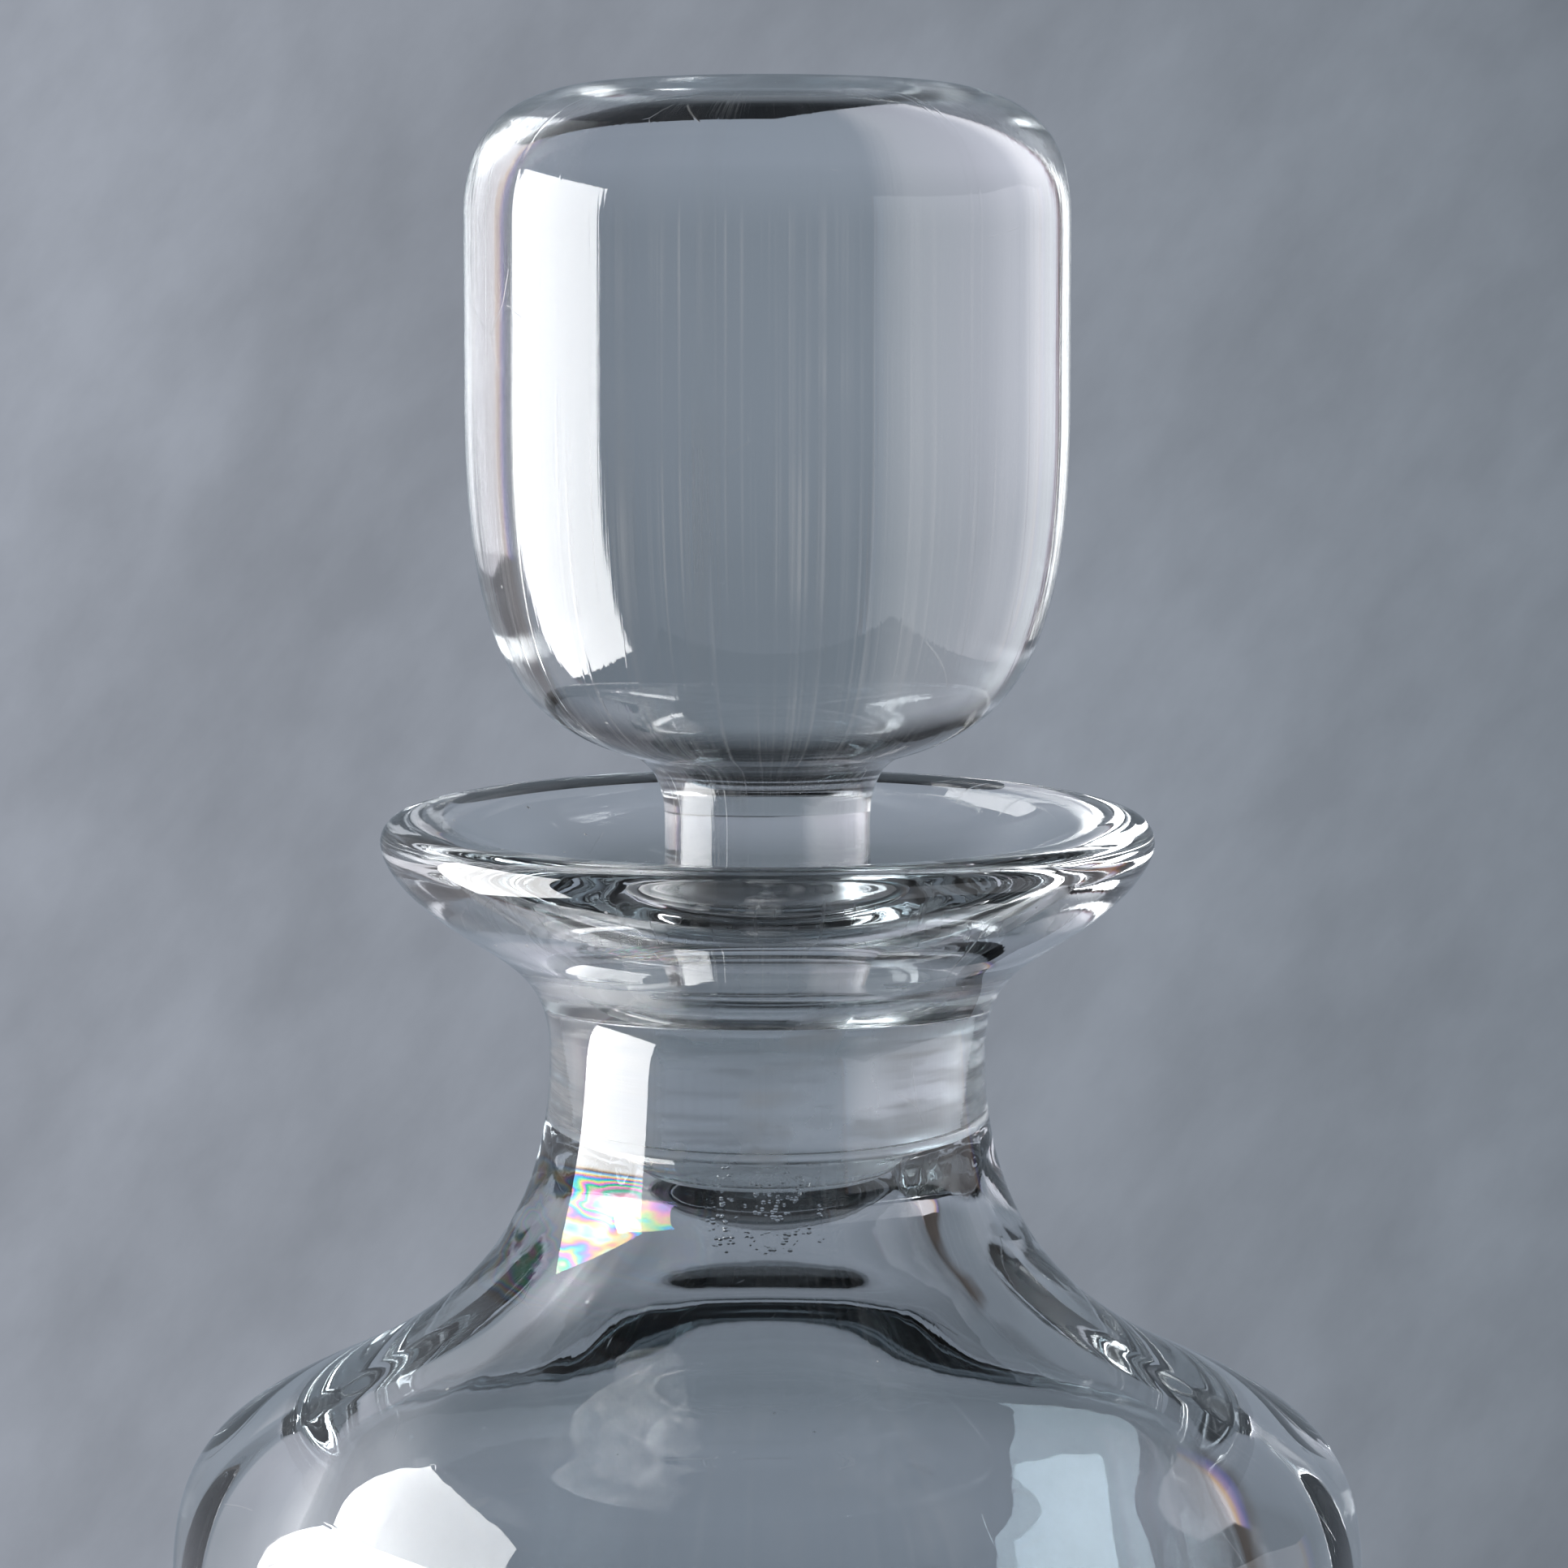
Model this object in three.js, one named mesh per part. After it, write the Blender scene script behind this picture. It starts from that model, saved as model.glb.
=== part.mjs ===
// Crystal decanter: a thick, hand-blown vessel with a dished lip and a ground neck,
// closed by a solid glass stopper whose ground plug seats in that neck.
// Millimetres, +Z up. The foot stands on z = 0, and Z is the axis of both pieces.
import * as THREE from 'three';

// Vessel, outside, from the foot upwards.
const bodyRadius = 59.2;
const footRadius = 41;
const footRingWidth = 8;
const footHollowDepth = 2.4;
const heelHeight = 56;
const beltHeight = 32.4;
const shoulderHeight = 20.4;
const shoulderInset = 14.9;
const neckHeight = 32.5;
const neckWall = 6.9;
const flareHeight = 13.4;
const lipRadius = 38.2;
const lipInset = 6.3;
const lipRise = 7.7;

// Vessel, lip and mouth.
const rimBead = 2.3;
const dishRadius = 28.9;
const dishEdgeDrop = 1.7;
const mouthDepth = 16.5;
const mouthBevel = 0.8;

// Vessel, ground bore and cavity.
const mouthRadius = 14.98;
const groundLength = 14.6;
const throatStep = 1;
const funnelRadius = 20.3;
const funnelRise = 7.6;
const innerShoulderRadius = 38.24;
const innerShoulderDepth = 6.4;
const innerShoulderDrop = 29.9;
const sideWall = 10.1;
const innerHeelHeight = 38;
const baseThickness = 17;
const floorRadius = 22;
const floorRise = 1.2;

// Stopper, from the tip of its plug upwards.
const plugClearance = 0.3;
const plugTipLength = 5.1;
const plugTipRound = 1.8;
const plugRise = 4.5;
const plugShoulderHeight = 9.3;
const stemRadius = 10.15;
const stemHeight = 2.4;
const stemFilletHeight = 6.9;
const stemFilletReach = 3.9;
const headRadius = 29.7;
const headBowlHeight = 35;
const headBandHeight = 18;
const headEdgeHeight = 12.8;
const headTopRadius = 13.6;

// Radius that the ground joint loses for each millimetre of depth: 1 in 10 on the diameter.
const groundTaper = 0.05;

// Slopes of the outlines, against the level.
const heelSlope = THREE.MathUtils.degToRad(24);
const hollowSlope = THREE.MathUtils.degToRad(8);
const shoulderSlope = THREE.MathUtils.degToRad(24.2);
const funnelSlope = THREE.MathUtils.degToRad(54.5);
const innerShoulderSlope = THREE.MathUtils.degToRad(33.6);
const lipSlope = THREE.MathUtils.degToRad(33.7);
const dishEdgeSlope = THREE.MathUtils.degToRad(28.7);
const dishSlope = THREE.MathUtils.degToRad(41.1);
const bowlSlope = THREE.MathUtils.degToRad(15.5);
const plugShoulderSlope = THREE.MathUtils.degToRad(26.6);

// How far the two handles of a curved stretch reach, as shares of its own width and height.
const roundShares = [0.55, 0.55];
const hollowShares = [0.35, 0.35];
const heelShares = [0.45, 0.62];
const shoulderShares = [0.6, 0.537];
const neckShares = [0.424, 0.564];
const flareShares = [0.59, 0.454];
const lipShares = [0.372, 0.305];
const rimShares = [0.55, 0.3];
const dishShares = [0.775, 0.446];
const throatShares = [0.306, 0.8];
const funnelShares = [0.284, 0.537];
const innerShoulderShares = [0.321, 0.714];
const innerHeelShares = [0.6, 0.6];
const plugShoulderShares = [0.5, 0.55];
const filletShares = [0.6, 0.45];
const bowlShares = [0.491, 0.66];
const headEdgeShares = [0.626, 0.74];

// Facets round the axis, and steps along the curved stretches.
const facets = 60;
const longSteps = 8;
const mediumSteps = 5;
const shortSteps = 3;

// Heights of the vessel's outline, each stacked on the one below.
const beltTop = heelHeight + beltHeight;
const shoulderTop = beltTop + shoulderHeight;
const waistHeight = shoulderTop + neckHeight;
const lipUnderHeight = waistHeight + flareHeight;
const lipEdgeHeight = lipUnderHeight + lipRise;
const rimHeight = lipEdgeHeight + rimBead;
const mouthHeight = rimHeight - mouthDepth;

// The ground joint. Heights here are counted from the mouth.
const boreRadiusAt = (height) => mouthRadius + height * groundTaper;
const plugRadiusAt = (height) => boreRadiusAt(height) - plugClearance;

const OUT = new THREE.Vector2(1, 0);
const INWARD = new THREE.Vector2(-1, 0);
const UP = new THREE.Vector2(0, 1);
const DOWN = new THREE.Vector2(0, -1);

const at = (radius, height) => new THREE.Vector2(radius, height);
const upOutward = (slope) => at(Math.cos(slope), Math.sin(slope));
const upInward = (slope) => at(-Math.cos(slope), Math.sin(slope));
const downOutward = (slope) => at(Math.cos(slope), -Math.sin(slope));
const downInward = (slope) => at(-Math.cos(slope), -Math.sin(slope));

// A curved stretch of outline. It leaves its first point and meets its last one in the
// given directions, and the shares say how long it holds them.
function sweep(from, leaving, to, arriving, [leavingShare, arrivingShare], steps) {
  const span = to.clone().sub(from);
  const reach = (heading) => Math.abs(span.x * heading.x) + Math.abs(span.y * heading.y);
  const firstHandle = from.clone().addScaledVector(leaving, reach(leaving) * leavingShare);
  const lastHandle = to.clone().addScaledVector(arriving, -reach(arriving) * arrivingShare);
  return new THREE.CubicBezierCurve(from, firstHandle, lastHandle, to).getPoints(steps);
}

// Joins stretches end to end. A straight line closes the space between two that don't meet,
// and where two do meet their shared point is kept once.
function joined(...stretches) {
  return stretches.flat().filter((point, index, all) => index === 0 || !point.equals(all[index - 1]));
}

// Underside, foot ring, heel, belt, shoulder and neck.
function vesselOutside() {
  const hollowCentre = at(0, footHollowDepth);
  const ringInner = at(footRadius - footRingWidth, 0);
  const ringOuter = at(footRadius, 0);
  const beltLow = at(bodyRadius, heelHeight);
  const beltHigh = at(bodyRadius, beltTop);
  const shoulder = at(bodyRadius - shoulderInset, shoulderTop);
  const waist = at(boreRadiusAt(waistHeight - mouthHeight) + neckWall, waistHeight);
  return [
    sweep(hollowCentre, OUT, ringInner, downOutward(hollowSlope), hollowShares, shortSteps),
    sweep(ringOuter, upOutward(heelSlope), beltLow, UP, heelShares, longSteps),
    sweep(beltHigh, UP, shoulder, upInward(shoulderSlope), shoulderShares, mediumSteps),
    sweep(shoulder, upInward(shoulderSlope), waist, UP, neckShares, longSteps),
  ].flat();
}

// The flare under the lip, the bead of the rim and the dish that runs down to the mouth.
function vesselLip(waist) {
  const lipUnder = at(lipRadius - lipInset, lipUnderHeight);
  const lipEdge = at(lipRadius, lipEdgeHeight);
  const ridge = at(lipRadius - rimBead, rimHeight);
  const dishEdge = at(dishRadius, rimHeight - dishEdgeDrop);
  const bevelTop = at(mouthRadius + mouthBevel, mouthHeight);
  const bevelFoot = at(boreRadiusAt(-mouthBevel), mouthHeight - mouthBevel);
  return [
    sweep(waist, UP, lipUnder, upOutward(lipSlope), flareShares, mediumSteps),
    sweep(lipUnder, upOutward(lipSlope), lipEdge, UP, lipShares, shortSteps),
    sweep(lipEdge, UP, ridge, INWARD, roundShares, shortSteps),
    sweep(ridge, INWARD, dishEdge, downInward(dishEdgeSlope), rimShares, shortSteps),
    sweep(dishEdge, downInward(dishEdgeSlope), bevelTop, downInward(dishSlope), dishShares, mediumSteps),
    sweep(bevelTop, downInward(dishSlope), bevelFoot, DOWN, roundShares, shortSteps),
  ].flat();
}

// The ground bore, and the polished cavity that opens below it.
function vesselInside() {
  const groundEnd = mouthHeight - groundLength;
  const boreEnd = at(boreRadiusAt(-groundLength), groundEnd);
  const throat = at(boreEnd.x + throatStep, groundEnd - throatStep);
  const funnel = at(funnelRadius, shoulderTop + funnelRise);
  const innerShoulder = at(innerShoulderRadius, shoulderTop - innerShoulderDepth);
  const cavityHigh = at(bodyRadius - sideWall, innerShoulder.y - innerShoulderDrop);
  const cavityLow = at(bodyRadius - sideWall, baseThickness + innerHeelHeight);
  const floorEdge = at(floorRadius, baseThickness);
  const floorCentre = at(0, baseThickness + floorRise);
  return [
    sweep(boreEnd, OUT, throat, DOWN, roundShares, shortSteps),
    sweep(throat, DOWN, funnel, downOutward(funnelSlope), throatShares, mediumSteps),
    sweep(funnel, downOutward(funnelSlope), innerShoulder, downOutward(innerShoulderSlope),
      funnelShares, mediumSteps),
    sweep(innerShoulder, downOutward(innerShoulderSlope), cavityHigh, DOWN, innerShoulderShares,
      longSteps),
    sweep(cavityLow, DOWN, floorEdge, INWARD, innerHeelShares, longSteps),
    [floorCentre],
  ].flat();
}

// The stopper's outline, with its heights counted from the mouth that it seats in.
function stopperOutline() {
  const tipHeight = -groundLength - plugTipLength;
  const tipSide = tipHeight + plugTipRound;
  const plugTop = at(plugRadiusAt(plugRise), plugRise);
  const stemLow = at(stemRadius, plugRise + plugShoulderHeight);
  const stemHigh = at(stemRadius, stemLow.y + stemHeight);
  const bowlFoot = at(stemRadius + stemFilletReach, stemHigh.y + stemFilletHeight);
  const bandLow = at(headRadius, bowlFoot.y + headBowlHeight);
  const bandHigh = at(headRadius, bandLow.y + headBandHeight);
  const topEdge = at(headTopRadius, bandHigh.y + headEdgeHeight);
  return joined(
    [at(0, tipHeight)],
    sweep(at(plugRadiusAt(tipSide) - plugTipRound, tipHeight), OUT,
      at(plugRadiusAt(tipSide), tipSide), UP, roundShares, shortSteps),
    sweep(plugTop, upInward(plugShoulderSlope), stemLow, UP, plugShoulderShares, mediumSteps),
    sweep(stemHigh, UP, bowlFoot, upOutward(bowlSlope), filletShares, mediumSteps),
    sweep(bowlFoot, upOutward(bowlSlope), bandLow, UP, bowlShares, longSteps),
    sweep(bandHigh, UP, topEdge, INWARD, headEdgeShares, longSteps),
    [at(0, topEdge.y)],
  );
}

// Turns an outline round the Z axis into a mesh of its own.
function turnedPiece(name, points, colour, roughness) {
  const geometry = new THREE.LatheGeometry(points, facets);
  geometry.rotateX(Math.PI / 2);
  const material = new THREE.MeshStandardMaterial({
    color: colour,
    roughness,
    metalness: 0,
    transparent: true,
    opacity: 0.35,
  });
  const mesh = new THREE.Mesh(geometry, material);
  mesh.name = name;
  return mesh;
}

const outside = vesselOutside();
const vessel = turnedPiece(
  'decanter_body',
  joined(outside, vesselLip(outside.at(-1)), vesselInside()),
  0xe6ecf2,
  0.03,
);

const stopper = turnedPiece('stopper', stopperOutline(), 0xe9eef4, 0.05);
stopper.position.z = mouthHeight;

const decanter = new THREE.Group();
decanter.add(vessel, stopper);

export default decanter;
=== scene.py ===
"""Crystal decanter: the turned crystal of its vessel and stopper, and a small studio."""

import math
from itertools import accumulate

import bpy
from bpy.props import FloatProperty, FloatVectorProperty, IntProperty, PointerProperty
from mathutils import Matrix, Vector


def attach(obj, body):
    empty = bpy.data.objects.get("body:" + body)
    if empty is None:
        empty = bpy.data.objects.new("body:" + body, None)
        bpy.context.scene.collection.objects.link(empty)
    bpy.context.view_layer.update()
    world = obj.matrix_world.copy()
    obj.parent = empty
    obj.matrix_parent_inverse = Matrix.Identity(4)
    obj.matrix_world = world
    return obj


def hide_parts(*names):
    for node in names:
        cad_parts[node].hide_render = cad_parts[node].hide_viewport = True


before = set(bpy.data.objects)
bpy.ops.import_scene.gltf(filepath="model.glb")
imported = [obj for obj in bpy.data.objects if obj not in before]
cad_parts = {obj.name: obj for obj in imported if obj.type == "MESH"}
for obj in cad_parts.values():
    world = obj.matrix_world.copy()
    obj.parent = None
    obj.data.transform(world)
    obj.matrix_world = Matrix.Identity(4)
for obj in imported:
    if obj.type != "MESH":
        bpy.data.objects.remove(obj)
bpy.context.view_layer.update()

bl_info = {
    "name": "Crystal Decanter",
    "version": (1, 0, 0),
    "blender": (4, 5, 0),
    "location": "3D View > Sidebar > Decanter",
    "description": "Turns a thick crystal decanter and its ground stopper",
    "category": "Add Mesh",
}


def length(name, description, default):
    return FloatProperty(name=name, description=description, default=default, unit="LENGTH")


def slope(name, description, degrees):
    return FloatProperty(
        name=name, description=description, default=math.radians(degrees), unit="ROTATION"
    )


def share(name, description, default):
    return FloatProperty(name=name, description=description, default=default, subtype="FACTOR")


def colour(name, description, default):
    return FloatVectorProperty(
        name=name, description=description, default=default, subtype="COLOR", size=3
    )


class DecanterVesselSizes(bpy.types.PropertyGroup):
    """Sizes of the vessel, from the foot upwards."""

    body_radius: length("Body radius", "Radius of the belt", 0.0592)
    foot_radius: length("Foot radius", "Outer radius of the standing ring", 0.041)
    foot_ring: length("Foot ring", "Width of the standing ring", 0.008)
    foot_hollow: length("Foot hollow", "Depth of the hollow under the foot", 0.0024)
    heel_height: length("Heel height", "Height of the curve from foot to belt", 0.056)
    belt_height: length("Belt height", "Height of the straight belt", 0.0324)
    shoulder_height: length("Shoulder height", "Height of the shoulder's curve", 0.0204)
    shoulder_inset: length("Shoulder inset", "How far the shoulder draws in", 0.0149)
    neck_height: length("Neck height", "From the shoulder to the waist of the neck", 0.0325)
    neck_wall: length("Neck wall", "Wall of the neck at its waist", 0.0069)
    flare_height: length("Flare height", "From the waist to the underside of the lip", 0.0134)
    lip_radius: length("Lip radius", "Outer radius of the lip", 0.0382)
    lip_inset: length("Lip inset", "How far the lip's underside stands in", 0.0063)
    lip_rise: length("Lip rise", "Height of the lip's curved edge", 0.0077)
    rim_bead: length("Rim bead", "Radius of the bead on the rim", 0.0023)
    dish_radius: length("Dish radius", "Radius of the dish at its edge", 0.0289)
    dish_edge_drop: length("Dish edge drop", "How far the dish's edge lies below the rim", 0.0017)
    mouth_depth: length("Mouth depth", "How far the mouth lies below the rim", 0.0165)
    mouth_bevel: length("Mouth bevel", "Bevel of the ground mouth", 0.0008)
    mouth_radius: length("Mouth radius", "Radius of the ground bore at the mouth", 0.01498)
    ground_length: length("Ground length", "Length of the ground bore", 0.0146)
    throat_step: length("Throat step", "Step where the ground bore ends", 0.001)
    funnel_radius: length("Funnel radius", "Radius of the cavity's funnel at its bend", 0.0203)
    funnel_rise: length("Funnel rise", "How far that bend lies above the shoulder", 0.0076)
    inner_shoulder_radius: length("Inner shoulder", "Radius of the cavity's shoulder", 0.03824)
    inner_shoulder_depth: length("Inner shoulder depth", "Its depth below the shoulder", 0.0064)
    inner_shoulder_drop: length("Inner shoulder drop", "From there to the straight side", 0.0299)
    side_wall: length("Side wall", "Wall of the belt", 0.0101)
    inner_heel_height: length("Inner heel", "Height of the cavity's heel", 0.038)
    base_thickness: length("Base", "Thickness of the base at the cavity's edge", 0.017)
    floor_radius: length("Floor radius", "Radius of the cavity's floor", 0.022)
    floor_rise: length("Floor rise", "How far the cavity's floor rises in the middle", 0.0012)


class DecanterStopperSizes(bpy.types.PropertyGroup):
    """Sizes of the stopper, from the tip of its plug upwards."""

    plug_clearance: length("Plug clearance", "Gap between the plug and its bore", 0.0003)
    tip_length: length("Tip length", "How far the plug reaches below the bore", 0.0051)
    tip_round: length("Tip rounding", "Radius of the plug's lower edge", 0.0018)
    plug_rise: length("Plug rise", "How far the ground plug stands above the mouth", 0.0045)
    plug_shoulder: length("Plug shoulder", "Height of the curve from plug to stem", 0.0093)
    stem_radius: length("Stem radius", "Radius of the stem", 0.01015)
    stem_height: length("Stem height", "Height of the stem's straight stretch", 0.0024)
    fillet_height: length("Fillet height", "Height of the curve under the head", 0.0069)
    fillet_reach: length("Fillet reach", "Reach of the curve under the head", 0.0039)
    head_radius: length("Head radius", "Radius of the head", 0.0297)
    bowl_height: length("Bowl height", "Height of the head's lower curve", 0.035)
    band_height: length("Band height", "Height of the head's straight side", 0.018)
    edge_height: length("Edge height", "Height of the curve to the head's top", 0.0128)
    top_radius: length("Top radius", "Radius of the flat top", 0.0136)


class DecanterSlopes(bpy.types.PropertyGroup):
    """Slopes of the outlines against the level, and the taper of the ground joint."""

    taper: share("Taper", "Radius that the ground joint loses for each metre of depth", 0.05)
    heel: slope("Heel", "Slope at the foot ring", 24)
    hollow: slope("Foot hollow", "Slope where the hollow meets the ring", 8)
    shoulder: slope("Shoulder", "Slope of the shoulder where the neck starts", 24.2)
    funnel: slope("Funnel", "Slope of the cavity's funnel at its bend", 54.5)
    inner_shoulder: slope("Inner shoulder", "Slope of the cavity's shoulder", 33.6)
    lip: slope("Lip", "Slope of the lip's underside", 33.7)
    dish_edge: slope("Dish edge", "Slope at the edge of the dish", 28.7)
    dish: slope("Dish", "Slope of the dish at the mouth", 41.1)
    bowl: slope("Bowl", "Slope of the head's underside", 15.5)
    plug_shoulder: slope("Plug shoulder", "Slope at the top of the ground plug", 26.6)


class DecanterCrystal(bpy.types.PropertyGroup):
    """The crystal and its finish."""

    tint: colour("Tint", "Colour that the crystal lets through", (0.8, 0.84, 0.86))
    depth: FloatProperty(name="Depth", description="How much the tint takes for each metre", default=9.0)
    ior: FloatProperty(name="IOR", description="Refractive index of lead crystal", default=1.545)
    segments: IntProperty(name="Segments", description="Faces round the axis", default=256)
    steps: IntProperty(name="Steps", description="Faces along each curved stretch", default=24)


class DecanterStudio(bpy.types.PropertyGroup):
    """Backdrop, floor, lamps and camera."""

    wall_left: colour("Wall, left", "Colour of the backdrop on the left", (0.3, 0.325, 0.375))
    wall_right: colour("Wall, right", "Colour of the backdrop on the right", (0.192, 0.219, 0.257))
    floor: colour("Floor", "Colour of the floor", (0.56, 0.58, 0.61))
    floor_radius: length("Floor radius", "Radius at which the floor has faded", 0.42)
    # Painted shade: colour of the dark sheet that only the crystal sees, put there to show dark in it.
    shade_board: colour("Board", "Colour of the dark board under the decanter", (0.002, 0.0022, 0.0026))
    board_depth: length("Board, depth", "How far the dark board lies below the floor", 0.001)
    board_left: length("Board, left", "Reach of the dark board's front corner to the left", 0.24)
    board_slant: length("Board, slant", "Reach of its back corner to the left", 0.005)
    board_right: length("Board, right", "Reach of the dark board to the right", 0.3)
    board_back: length("Board, back", "Reach of the dark board to the front and back", 0.23)
    eye_distance: length("Camera distance", "From the camera to its target", 0.888)
    eye_height: length("Target height", "Height of the camera's target", 0.168)
    eye_pitch: slope("Camera pitch", "How far the camera looks down", 7.63)
    side_shift: share("Sideways shift", "How far the object stands left of the middle", 0.0106)
    focal: FloatProperty(
        name="Focal length", description="On a 36 mm sensor", default=206.8, subtype="DISTANCE_CAMERA"
    )


OUT = Vector((1, 0))
INWARD = Vector((-1, 0))
UP = Vector((0, 1))
DOWN = Vector((0, -1))

# How far the two handles of a curved stretch reach, as shares of its own width and height.
ROUND = (0.55, 0.55)
HOLLOW = (0.35, 0.35)
HEEL = (0.45, 0.62)
SHOULDER = (0.6, 0.537)
NECK = (0.424, 0.564)
FLARE = (0.59, 0.454)
LIP = (0.372, 0.305)
RIM = (0.55, 0.3)
DISH = (0.775, 0.446)
THROAT = (0.306, 0.8)
FUNNEL = (0.284, 0.537)
INNER_SHOULDER = (0.321, 0.714)
INNER_HEEL = (0.6, 0.6)
PLUG_SHOULDER = (0.5, 0.55)
FILLET = (0.6, 0.45)
BOWL = (0.491, 0.66)
HEAD_EDGE = (0.626, 0.74)


def at(radius, height):
    return Vector((radius, height))


def heading(angle, across, along):
    return Vector((across * math.cos(angle), along * math.sin(angle)))


def sweep(start, leaving, end, arriving, shares, steps):
    """A curved stretch of outline that leaves and arrives in the given directions."""
    span = end - start
    first = start + leaving * (abs(span.x * leaving.x) + abs(span.y * leaving.y)) * shares[0]
    last = end - arriving * (abs(span.x * arriving.x) + abs(span.y * arriving.y)) * shares[1]
    points = []
    for step in range(steps + 1):
        t = step / steps
        u = 1 - t
        points.append(start * u**3 + first * 3 * u * u * t + last * 3 * u * t * t + end * t**3)
    return points


def straight(start, end, steps):
    return [start.lerp(end, step / steps) for step in range(steps + 1)]


def vessel_heights():
    """Tops of the heel, belt, shoulder, neck, flare, lip's curve and rim, each on the last."""
    v = bpy.context.scene.decanter_vessel
    body = (v.heel_height, v.belt_height, v.shoulder_height, v.neck_height)
    lip = (v.flare_height, v.lip_rise, v.rim_bead)
    return list(accumulate(body + lip))


def mouth_height():
    return vessel_heights()[-1] - bpy.context.scene.decanter_vessel.mouth_depth


def bore_radius(height):
    """Radius of the ground bore at a height counted from the mouth."""
    scene = bpy.context.scene
    return scene.decanter_vessel.mouth_radius + height * scene.decanter_slopes.taper


def vessel_outline():
    """The vessel's outline as stretches of points, each with the name of its finish."""
    scene = bpy.context.scene
    v, s, n = scene.decanter_vessel, scene.decanter_slopes, scene.decanter_crystal.steps
    _, belt_top, shoulder_top, waist_height, *lip_heights = vessel_heights()
    lip_under_height, lip_edge_height, rim_height = lip_heights
    mouth = mouth_height()

    hollow = at(0, v.foot_hollow)
    ring_inner = at(v.foot_radius - v.foot_ring, 0)
    ring_outer = at(v.foot_radius, 0)
    belt_low = at(v.body_radius, v.heel_height)
    belt_high = at(v.body_radius, belt_top)
    shoulder = at(v.body_radius - v.shoulder_inset, shoulder_top)
    waist = at(bore_radius(waist_height - mouth) + v.neck_wall, waist_height)
    lip_under = at(v.lip_radius - v.lip_inset, lip_under_height)
    lip_edge = at(v.lip_radius, lip_edge_height)
    ridge = at(v.lip_radius - v.rim_bead, rim_height)
    dish_edge = at(v.dish_radius, rim_height - v.dish_edge_drop)
    bevel_top = at(v.mouth_radius + v.mouth_bevel, mouth)
    bevel_foot = at(bore_radius(-v.mouth_bevel), mouth - v.mouth_bevel)
    bore_end = at(bore_radius(-v.ground_length), mouth - v.ground_length)
    throat = at(bore_end.x + v.throat_step, bore_end.y - v.throat_step)
    funnel = at(v.funnel_radius, shoulder_top + v.funnel_rise)
    inner_shoulder = at(v.inner_shoulder_radius, shoulder_top - v.inner_shoulder_depth)
    cavity_high = at(v.body_radius - v.side_wall, inner_shoulder.y - v.inner_shoulder_drop)
    cavity_low = at(v.body_radius - v.side_wall, v.base_thickness + v.inner_heel_height)
    floor_edge = at(v.floor_radius, v.base_thickness)
    floor_centre = at(0, v.base_thickness + v.floor_rise)
    shoulder_way = heading(s.shoulder, -1, 1)
    lip_way = heading(s.lip, 1, 1)
    edge_way = heading(s.dish_edge, -1, -1)
    dish_way = heading(s.dish, -1, -1)
    funnel_way = heading(s.funnel, 1, -1)
    inner_way = heading(s.inner_shoulder, 1, -1)
    dish = sweep(dish_edge, edge_way, bevel_top, dish_way, DISH, n)
    return [
        (sweep(hollow, OUT, ring_inner, heading(s.hollow, 1, -1), HOLLOW, n), "crystal"),
        (straight(ring_inner, ring_outer, 2), "worn"),
        (sweep(ring_outer, heading(s.heel, 1, 1), belt_low, UP, HEEL, 2 * n), "crystal"),
        (straight(belt_low, belt_high, n), "crystal"),
        (sweep(belt_high, UP, shoulder, shoulder_way, SHOULDER, n), "crystal"),
        (sweep(shoulder, shoulder_way, waist, UP, NECK, 2 * n), "crystal"),
        (sweep(waist, UP, lip_under, lip_way, FLARE, n), "crystal"),
        (sweep(lip_under, lip_way, lip_edge, UP, LIP, n), "crystal"),
        (sweep(lip_edge, UP, ridge, INWARD, ROUND, n), "crystal"),
        (sweep(ridge, INWARD, dish_edge, edge_way, RIM, n), "crystal"),
        (dish[: n // 2 + 1], "crystal"),
        (dish[n // 2 :], "satin"),
        (sweep(bevel_top, dish_way, bevel_foot, DOWN, ROUND, n // 3), "satin"),
        (straight(bevel_foot, bore_end, 2 * n), "ground"),
        (sweep(bore_end, OUT, throat, DOWN, ROUND, n // 3), "ground"),
        (sweep(throat, DOWN, funnel, funnel_way, THROAT, n), "cavity"),
        (sweep(funnel, funnel_way, inner_shoulder, inner_way, FUNNEL, n), "cavity"),
        (sweep(inner_shoulder, inner_way, cavity_high, DOWN, INNER_SHOULDER, n), "cavity"),
        (straight(cavity_high, cavity_low, n), "cavity"),
        (sweep(cavity_low, DOWN, floor_edge, INWARD, INNER_HEEL, n), "cavity"),
        (straight(floor_edge, floor_centre, n // 2), "cavity"),
    ]


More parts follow.
